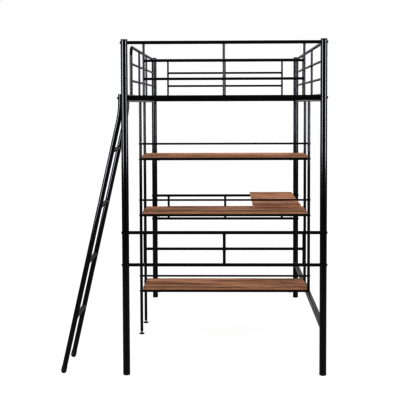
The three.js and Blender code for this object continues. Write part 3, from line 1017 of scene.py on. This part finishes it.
def rung(number):
    """A rung, welded to both of the ladder's tubes."""
    node = f"ladder_rung_{number}"
    at = middle_of(node)
    rails = [middle_of(f"ladder_rail_{which}").y for which in LADDER_RAILS]
    spots = [Vector((at.x, y, at.z)) for y in rails]
    meets = [pipe(spot, LEAN, LADDER_R) for spot in spots]
    build = Build()
    bar(build, *spots, round_section(RUNG_R), meets, (WELD_R, WELD_R))
    build.piece(f"ladder_step_{number}", [STEEL], [node])


def ladder_bolt(which):
    """A bolt through the ladder's tube into the platform rail."""
    node = f"ladder_bolt_{which}"
    at = middle_of(node)
    spot = Vector((LADDER_X - LADDER_R, at.y, at.z))
    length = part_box(node)[1].x - spot.x
    build = Build()
    bolt_head(build, spot, -ACROSS, LADDER_HEAD)
    outline = [(0, 0), (SCREW_R, 0), (SCREW_R, length - MM), (SCREW_R - 0.7 * MM, length), (0, length)]
    turned(build, outline, spot, ACROSS, SCREW_SIDES)
    build.piece(f"ladder_screw_{which}", [OXIDE], [node])


# ---- The whole bed ----

for end in ENDS:
    for side in SIDES:
        post(end, side)
        post_top(end, side)
        post_shoe(end, side)
        post_bolts(end, side)
    upper_panel(end)
    lower_panel(end)
for side in SIDES:
    platform_rail(side)
lower_side_rail()
guard_left()
guard_right()
for number in range(1, SLAT_COUNT + 1):
    slat(f"slat_{number}", f"slat_tube_{number}", ACROSS)
slat("slat_beam", "slat_beam_tube", ALONG)
for row in ROWS:
    for side in SIDES:
        leg(row, side)
        leg_bolts(row, side)
    levelling_foot(row)
for shelf in SHELVES:
    for row in ROWS:
        shelf_rail(f"{shelf}_rail_{row}", row)
    shelf_rail(f"{shelf}_stop_rail", "back")
    board_screws(shelf)
    board(f"{shelf}_board", f"{shelf}_panel", GRAIN_ACROSS)
board("desk_return_board", "desk_return_panel", GRAIN_RETURN)
for which in LADDER_RAILS:
    ladder_rail(which)
    ladder_foot(which)
    ladder_bolt(which)
for number in range(1, RUNG_COUNT + 1):
    rung(number)


# ---- Floor, light and camera ----

WHITE = colour(1, 1, 1)
DAYLIGHT = (0.90, 0.92, 1.0)
NEUTRAL = (1.0, 0.98, 0.96)
# The floor glows almost white near the bed and fully white from far off; the rest is lit shade.
FLOOR_HALF = 30.0
NEAR_GLOW = 0.965
GLOW_RISES = (1.5, 5.0)
FLOOR_SHADE = 0.03
# The room's own light, in front of the bed and behind it.
ROOM_FRONT = 0.22
ROOM_BACK = 0.6
# Below 1 this deepens the dark tones of the view, so that thin dark tubes stay dark on white.
DEPTH_OF_TONE = 0.63


def floor():
    """A floor that the camera sees as white, a little shaded near the bed."""
    mesh = bpy.data.meshes.new("studio_floor")
    corners = [(x * FLOOR_HALF, y * FLOOR_HALF, 0) for x, y in ((-1, -1), (1, -1), (1, 1), (-1, 1))]
    mesh.from_pydata(corners, [], [(0, 1, 2, 3)])
    thing = bpy.data.objects.new("studio_floor", mesh)
    bpy.context.scene.collection.objects.link(thing)
    s = Shader("pale_studio_floor")
    cloud = s.noise(s.place(), 2.0, 2, 0.5)
    paper = s.blend(cloud, colour(0.2, 0.2, 0.2), colour(0.24, 0.24, 0.24))
    s.finish(Base_Color=paper, Roughness=0.9)
    reach = s.add("ShaderNodeVectorMath", {"operation": "LENGTH"}, {0: s.place()}, out=1)
    strength = NEAR_GLOW + (1 - NEAR_GLOW) * reach.between(*GLOW_RISES)
    glow = s.add("ShaderNodeEmission", None, {"Color": WHITE, "Strength": strength})
    dark = colour(FLOOR_SHADE, FLOOR_SHADE, FLOOR_SHADE)
    shade = s.add("ShaderNodeBsdfDiffuse", None, {"Color": dark})
    bright = s.add("ShaderNodeAddShader", None, {0: shade, 1: glow})
    s.output("Material Output", s.split(bright, Value(s, s.surface.outputs[0])))
    mesh.materials.append(s.material)


def room():
    """White to the camera; for light and reflections dim in front of the bed and brighter behind."""
    world = bpy.data.worlds.new("studio")
    world.use_nodes = True
    bpy.context.scene.world = world
    n = Nodes(world.node_tree)
    way = n.add("ShaderNodeTexCoord", out="Generated")
    north = n.add("ShaderNodeSeparateXYZ", None, {0: way}, out="Y")
    strength = ROOM_FRONT + (ROOM_BACK - ROOM_FRONT) * north.between(-0.3, 0.9)
    dim = n.add("ShaderNodeBackground", None, {"Color": WHITE, "Strength": strength})
    white = n.add("ShaderNodeBackground", None, {"Color": WHITE, "Strength": 1.0})
    n.output("World Output", n.split(white, dim))


def softbox(name, spot, aim, size, power, gloss=True, diffuse=True):
    """A lamp that shows only in the gloss, or lights only what is matt, or both."""
    light = bpy.data.lights.new(name, "AREA")
    light.shape = "RECTANGLE"
    light.size, light.size_y = size
    light.energy = power
    light.color = DAYLIGHT if gloss else NEUTRAL
    lamp = bpy.data.objects.new(name, light)
    lamp.location = spot
    lamp.rotation_euler = (Vector(aim) - Vector(spot)).to_track_quat("-Z", "Y").to_euler()
    lamp.visible_glossy = gloss
    lamp.visible_diffuse = diffuse
    bpy.context.scene.collection.objects.link(lamp)


def lights():
    """Tall softboxes for the bright lines on the tubes, and broad ones for the boards."""
    centre = Vector((CENTRE_X, (FOOT_Y + HEAD_Y) / 2, 0.9))
    bed_front = (CENTRE_X, FOOT_Y, 1.95)
    bed_back = (CENTRE_X, HEAD_Y, 1.6)
    key = {"size": (1.5, 2.2), "power": 215, "diffuse": False}
    softbox("key_left", (-2.75, -3.09, 1.95), bed_front, **key)
    softbox("key_right", (3.4, -2.75, 1.95), bed_front, **key)
    rear = {"size": (1.2, 2.2), "power": 40, "diffuse": False}
    softbox("rear_left", (-3.2, 3.4, 1.9), bed_back, **rear)
    softbox("rear_right", (3.5, 3.4, 1.9), bed_back, **rear)
    fill = {"size": (2.0, 1.4), "power": 195, "gloss": False}
    softbox("side_left", (-3.6, 0.2, 2.2), centre, **fill)
    softbox("side_right", (3.9, 0.2, 2.2), centre, **fill)
    softbox("front_fill", (CENTRE_X, -4.4, 3.6), centre, (3.0, 2.0), 165, gloss=False)
    softbox("overhead", (CENTRE_X, 0.9, 4.6), centre, (3.0, 3.0), 175, gloss=False)


def camera():
    """In front of the foot end at the platform's height, tilted a little down."""
    lens = bpy.data.cameras.new("camera")
    lens.lens = 81.07
    lens.sensor_width = 36.0
    lens.shift_y = -0.12
    thing = bpy.data.objects.new("camera", lens)
    thing.location = (CENTRE_X + 0.0182, FOOT_Y - 4.7785, 1.4025)
    tilt, roll, turn = 90 - 3.33, 0.185, 1.19
    thing.rotation_euler = (math.radians(tilt), math.radians(roll), math.radians(turn))
    bpy.context.scene.collection.objects.link(thing)
    bpy.context.scene.camera = thing


floor()
room()
lights()
camera()
bpy.context.scene.view_settings.view_transform = "Standard"
bpy.context.scene.view_settings.gamma = DEPTH_OF_TONE
